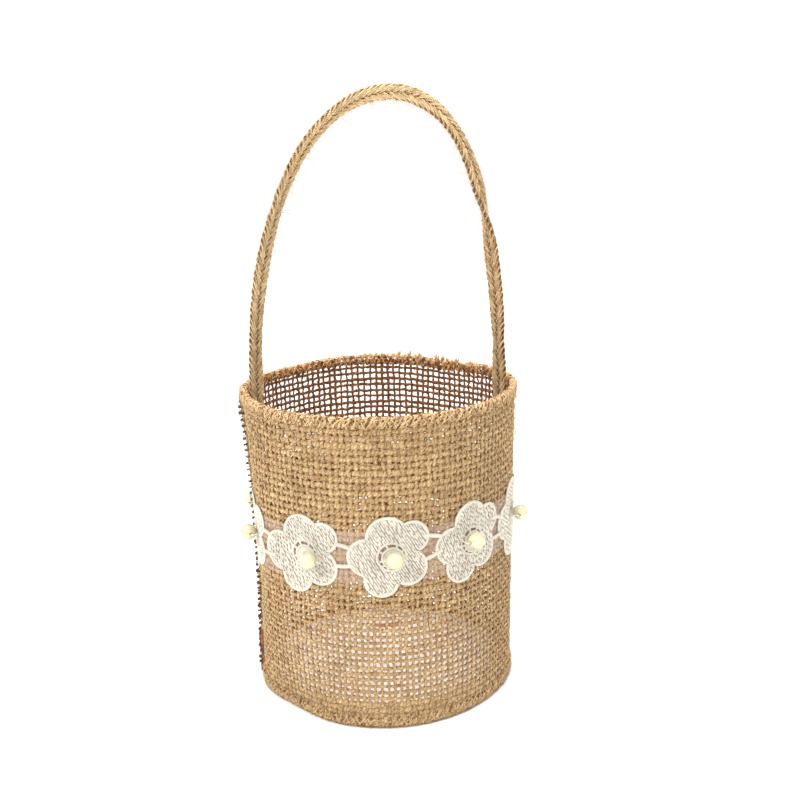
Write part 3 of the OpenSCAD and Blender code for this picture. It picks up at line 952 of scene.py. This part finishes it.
def make_flower(k):
    """One embroidered flower: its ground, the stitched petals and button, and its raised borders."""
    random = np.random.default_rng(100 + k)
    az = FIRST_AZIMUTH + FLOWER_STEP * (k - 1) - FLOWER_SHIFT.get(k, 0)
    z = float(band_height(az))
    tilt = math.atan(math.tan(BAND_TILT) * math.cos(math.radians(az)))
    tilt = tilt + math.radians(FLOWER_TURN.get(k, random.normal(0, 2)))
    c, s = math.cos(tilt), math.sin(tilt)

    def to_band(x, y, h):
        return on_band(az, z, x * c - y * s, x * s + y * c, h)

    petals = [
        (math.radians(a + random.normal(0, 1.5)), d + random.normal(0, 0.12), r + random.normal(0, 0.12))
        for a, d, r in PETALS
    ]
    at, away, size = petals[0]
    longer = LONG_PETAL.get(k, 0)
    petals[0] = (at, away + longer, size + longer / 2)
    angle = np.linspace(0, math.tau, 721)
    reach = outline(angle, petals)
    if k == LAST_FLOWER:
        reach = np.minimum(reach, 13.8 / np.maximum(-np.cos(angle + tilt), 0.5))

    def reach_at(x, y):
        return np.interp(np.arctan2(y, x) % (math.tau), angle, reach)

    node = "lace_flower_%d" % k
    soup = Soup()
    ring = circle(angle[:-1:6]).T
    edge, middle = reach[:-1:6] - 0.5, 5.5
    rows = [middle + (edge - middle) * share for share in (0, 0.4, 0.8, 1)]
    soup.grid(np.stack([to_band(*(r * ring), 0.14) for r in rows]), closed=True)
    soup.build(node + "_ground", LACE_GROUND_SHADE, "lace_thread", node)

    soup = Soup()
    starts, stops = petal_rows(random, reach_at)
    wide = random.uniform(0.7, 1.0, (len(starts), 1))
    starts = starts + random.normal(0, 0.1, starts.shape)
    stops = stops + random.normal(0, 0.1, starts.shape)
    stitches(soup, starts, stops, -0.05, 0.42, wide, 0.55, to_band, rings=7)
    eye = np.array([0.35, -0.45])  # the button sits a little to the lower right of its hole
    ring = circle(np.linspace(0, math.tau, 36, endpoint=False))
    stitches(soup, eye + ring * 0.9, eye + ring * 4.0, 0.25, 0.65, 0.8, 0.5, to_band)
    ties = circle(np.radians([8, 30, 66, 112, 150, 196, 222, 248, 275, 300, 325, 348]))
    stitches(soup, eye + ties * 3.6, ties * 6.2, 0.1, 0.4, 1.0, 0.4, to_band)
    soup.build(node + "_stitched", LACE, "lace_thread", node)

    soup = Soup()
    x, y = reach * circle(angle).T
    step = np.concatenate([[0], np.cumsum(np.hypot(np.diff(x), np.diff(y)))])
    a = np.interp(np.arange(0, step[-1], 0.46), step, angle)
    p = np.interp(a, angle, reach)[:, None] * circle(a)
    normal = unit(np.stack([np.gradient(p[:, 1]), -np.gradient(p[:, 0])], -1))
    uneven = random.normal(0, 0.06, (len(a), 1))
    inner, outer = p - normal * (1.2 + 3 * uneven), p + normal * (0.02 + uneven)
    stitches(soup, inner, outer, 0.1, 0.56, 0.56, 0.5, to_band)
    ring = circle(np.linspace(0, math.tau, 64, endpoint=False))
    stitches(soup, ring * 5.4, ring * 6.4, 0.1, 0.5, 0.58, 0.45, to_band, rings=5)
    stitches(soup, eye + ring * 3.8, eye + ring * 4.75, 0.2, 0.7, 0.5, 0.45, to_band, rings=5)
    soup.build(node + "_border", LACE_EDGE, "lace_thread", node)


def make_ribbon():
    """The sheer ribbon under the flowers, slightly wavy along its edges."""
    n = Nodes("sheer ribbon", Roughness=0.6, Sheen_Weight=0.2, Alpha=0.24)
    uv = n.add("ShaderNodeUVMap", uv_map="yarn").outputs[0]
    along, across = n.add("ShaderNodeSeparateXYZ", {0: uv}).outputs[:2]
    net = n.times(n.wave(n.times(along, 1400.0)), n.wave(n.times(across, 95.0)))
    n.link(n.mix(net, rgb(196, 170, 154), rgb(222, 200, 186)), "Base Color")
    n.bump(net, 0.3, 0.05 * MM)
    soup = Soup()
    half = 11.5
    az = np.linspace(SEAM_AZIMUTH + 1.4, SEAM_AZIMUTH + 358.6, 321)
    a = np.radians(az)
    rows = []
    for y in np.linspace(-half, half, 9):
        z = band_height(az) + y + 0.35 * np.sin(a * 7 + y / 6) * (abs(y) / half)
        rows.append(on_wall(az, z, SKIN + 0.04 + 0.05 * np.sin(a * 23 + y)))
    soup.grid(np.stack(rows))
    return soup.build("lace_sheer_ribbon", n.material, "sheer_ribbon", "lace_ribbon")


def make_bars():
    """Two padded bars between each flower and the next, except across the seam."""
    soup = Soup()
    random = np.random.default_rng(83)
    for k in range(FLOWERS):
        az = FIRST_AZIMUTH + FLOWER_STEP * (k + 0.5)
        if abs(turn(az, SEAM_AZIMUTH)) < 9:
            continue
        z = float(band_height(az))

        def to_band(x, y, h):
            return on_band(az, z, x, y, h)

        for y0, y1 in ((7.6, 6.2), (-2.9, 0.2)) if k == 0 else ((5.8, 3.8), (-3.6, -3.0)):
            t = np.linspace(0, 1, 9)
            x = -5.0 + 7.4 * t
            bow = np.sin(math.pi * t)
            y = y0 + (y1 - y0) * t + 0.3 * bow * np.sign(y0) + random.normal(0, 0.1)
            h = 0.45 + 0.15 * bow
            path = to_band(x, y, h)[None]
            soup.rope(path, unit(to_band(x, y, h + 1)[None] - path), 1.7, 0.8, sides=8)
            wrap = np.arange(-4.8, 2.3, 0.5)
            middle = np.stack([wrap, np.interp(wrap, x, y)], -1)
            stitches(soup, middle - [0.1, 0.9], middle + [0.1, 0.9], 0.4, 1.0, 0.5, 0.4, to_band, rings=5)
    soup.build("lace_joining_bars", LACE_EDGE, "lace_thread", "lace_bars")


def make_pearls():
    """Each pearl is a bead with a bore, and a thread goes through it and into the flower on both sides."""
    n = Nodes("pearl", Roughness=0.24, Coat_Weight=0.6, Coat_Roughness=0.08, Specular_IOR_Level=0.6,
              Sheen_Weight=0.15, Subsurface_Weight=0.25, Subsurface_Radius=(1.2 * MM, 1.0 * MM, 0.6 * MM),
              Subsurface_Scale=1.0)
    where = n.place()
    cloud = n.spread(n.noise(where, 420.0, 3), 0.35, 0.65)
    # Painted shade: the colour darkens towards rgb(150, 140, 88) where the bead's surface turns away from the
    # view, at its outline.
    painted_rim_shade = n.add("ShaderNodeLayerWeight", {"Blend": 0.35}).outputs["Facing"]
    colour = n.mix(cloud, rgb(196, 188, 150), rgb(209, 202, 167))
    n.link(n.mix(n.times(painted_rim_shade, 0.7), colour, rgb(150, 140, 88)), "Base Color")
    n.bump(n.noise(where, 900.0, 2), 0.12, 0.03 * MM)
    radius, bore = 3.5, 0.6
    start = math.asin(bore / radius)
    angle = np.linspace(start, math.pi - start, 33)
    # The bead's profile along its bore, with the first of the bore's own wall at each end.
    x = np.concatenate([[2.9], radius * np.cos(angle), [-2.9]])[:, None, None]
    r = np.concatenate([[0.48], radius * np.sin(angle), [0.48]])[:, None, None]
    around = np.linspace(0, math.tau, 56, endpoint=False)[:, None]
    threads = Soup()
    for k in range(1, FLOWERS + 1):
        node = "pearl_%d" % k
        low, high = (np.array(c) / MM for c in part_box(node))
        centre = (low + high) / 2
        a = math.atan2(centre[0], -centre[1])
        axis = np.array([math.cos(a), math.sin(a), 0])
        out = np.array([math.sin(a), -math.cos(a), 0])
        soup = Soup()
        soup.grid(centre + axis * x + (UP * np.cos(around) + out * np.sin(around)) * r, closed=True)
        soup.build(node + "_bead", n.material, "pearl", node, body=node)
        face = float(np.hypot(centre[0], centre[1]) - wall_radius(math.degrees(a), centre[2]) - SKIN)
        half = [(0.9, 0.35 - face), (2.6, 0.6 - face), (4.2, 1.6 - face), (4.75, -1.0), (4.3, -0.2), (3.4, 0),
                (1.7, 0)]
        profile = [(-along, away) for along, away in half] + [(0, 0)] + half[::-1]
        path = np.array([centre + axis * along + out * away for along, away in curve_through(profile, 5)])
        threads.rope(path[None], UP, 0.5, 0.5, sides=6)
    threads.build("pearl_sewing_threads", LACE_EDGE, "lace_thread", "pearl_threads")


# ---------------------------------------------------------------- studio

def make_studio():
    """A white floor and world, and three soft lamps."""
    scene = bpy.context.scene
    scene.view_settings.view_transform = "Standard"
    world = bpy.data.worlds.new("studio")
    scene.world = world
    world.use_nodes = True
    background = world.node_tree.nodes["Background"]
    background.inputs["Color"].default_value = (1, 1, 1, 1)
    background.inputs["Strength"].default_value = 1.04

    n = Nodes("studio floor", Roughness=0.9, Specular_IOR_Level=0.1)
    n.shader.inputs["Base Color"].default_value = (0.97, 0.97, 0.97, 1)
    mesh = bpy.data.meshes.new("studio_floor")
    size, level = 6.0, -0.0002
    corners = [(-size, -size, level), (size, -size, level), (size, size, level), (-size, size, level)]
    mesh.from_pydata(corners, [], [(0, 1, 2, 3)])
    mesh.materials.append(n.material)
    floor = bpy.data.objects.new("studio_floor", mesh)
    scene.collection.objects.link(floor)

    for name, power, size, spot, aim in (
        ("key", 11.5, 0.5, (-0.8, -0.68, 0.9), (0, 0, 0.1)),
        ("fill", 2.5, 0.9, (0.9, -0.8, 0.5), (0, 0, 0.1)),
        ("top", 10.0, 0.3, (0.05, 0.05, 1.0), (0, 0, 0.0)),
    ):
        light = bpy.data.lights.new(name, "AREA")
        light.energy, light.size = power, size
        lamp = bpy.data.objects.new(name, light)
        lamp.location = spot
        lamp.rotation_euler = (Vector(aim) - Vector(spot)).to_track_quat("-Z", "Y").to_euler()
        scene.collection.objects.link(lamp)


cloth, weft = make_wall()
fibres = make_fuzz()
make_ring_overlock("rim_overlock", RIM_Z - 2.2, 31)
make_ring_overlock("base_overlock", 2.5, 33)
make_seam_overlock()
make_frays()
base_cloth = make_base()
make_handle()
make_handle_stitches()
ribbon = make_ribbon()
make_bars()
for k in range(1, FLOWERS + 1):
    make_flower(k)
make_pearls()
make_studio()
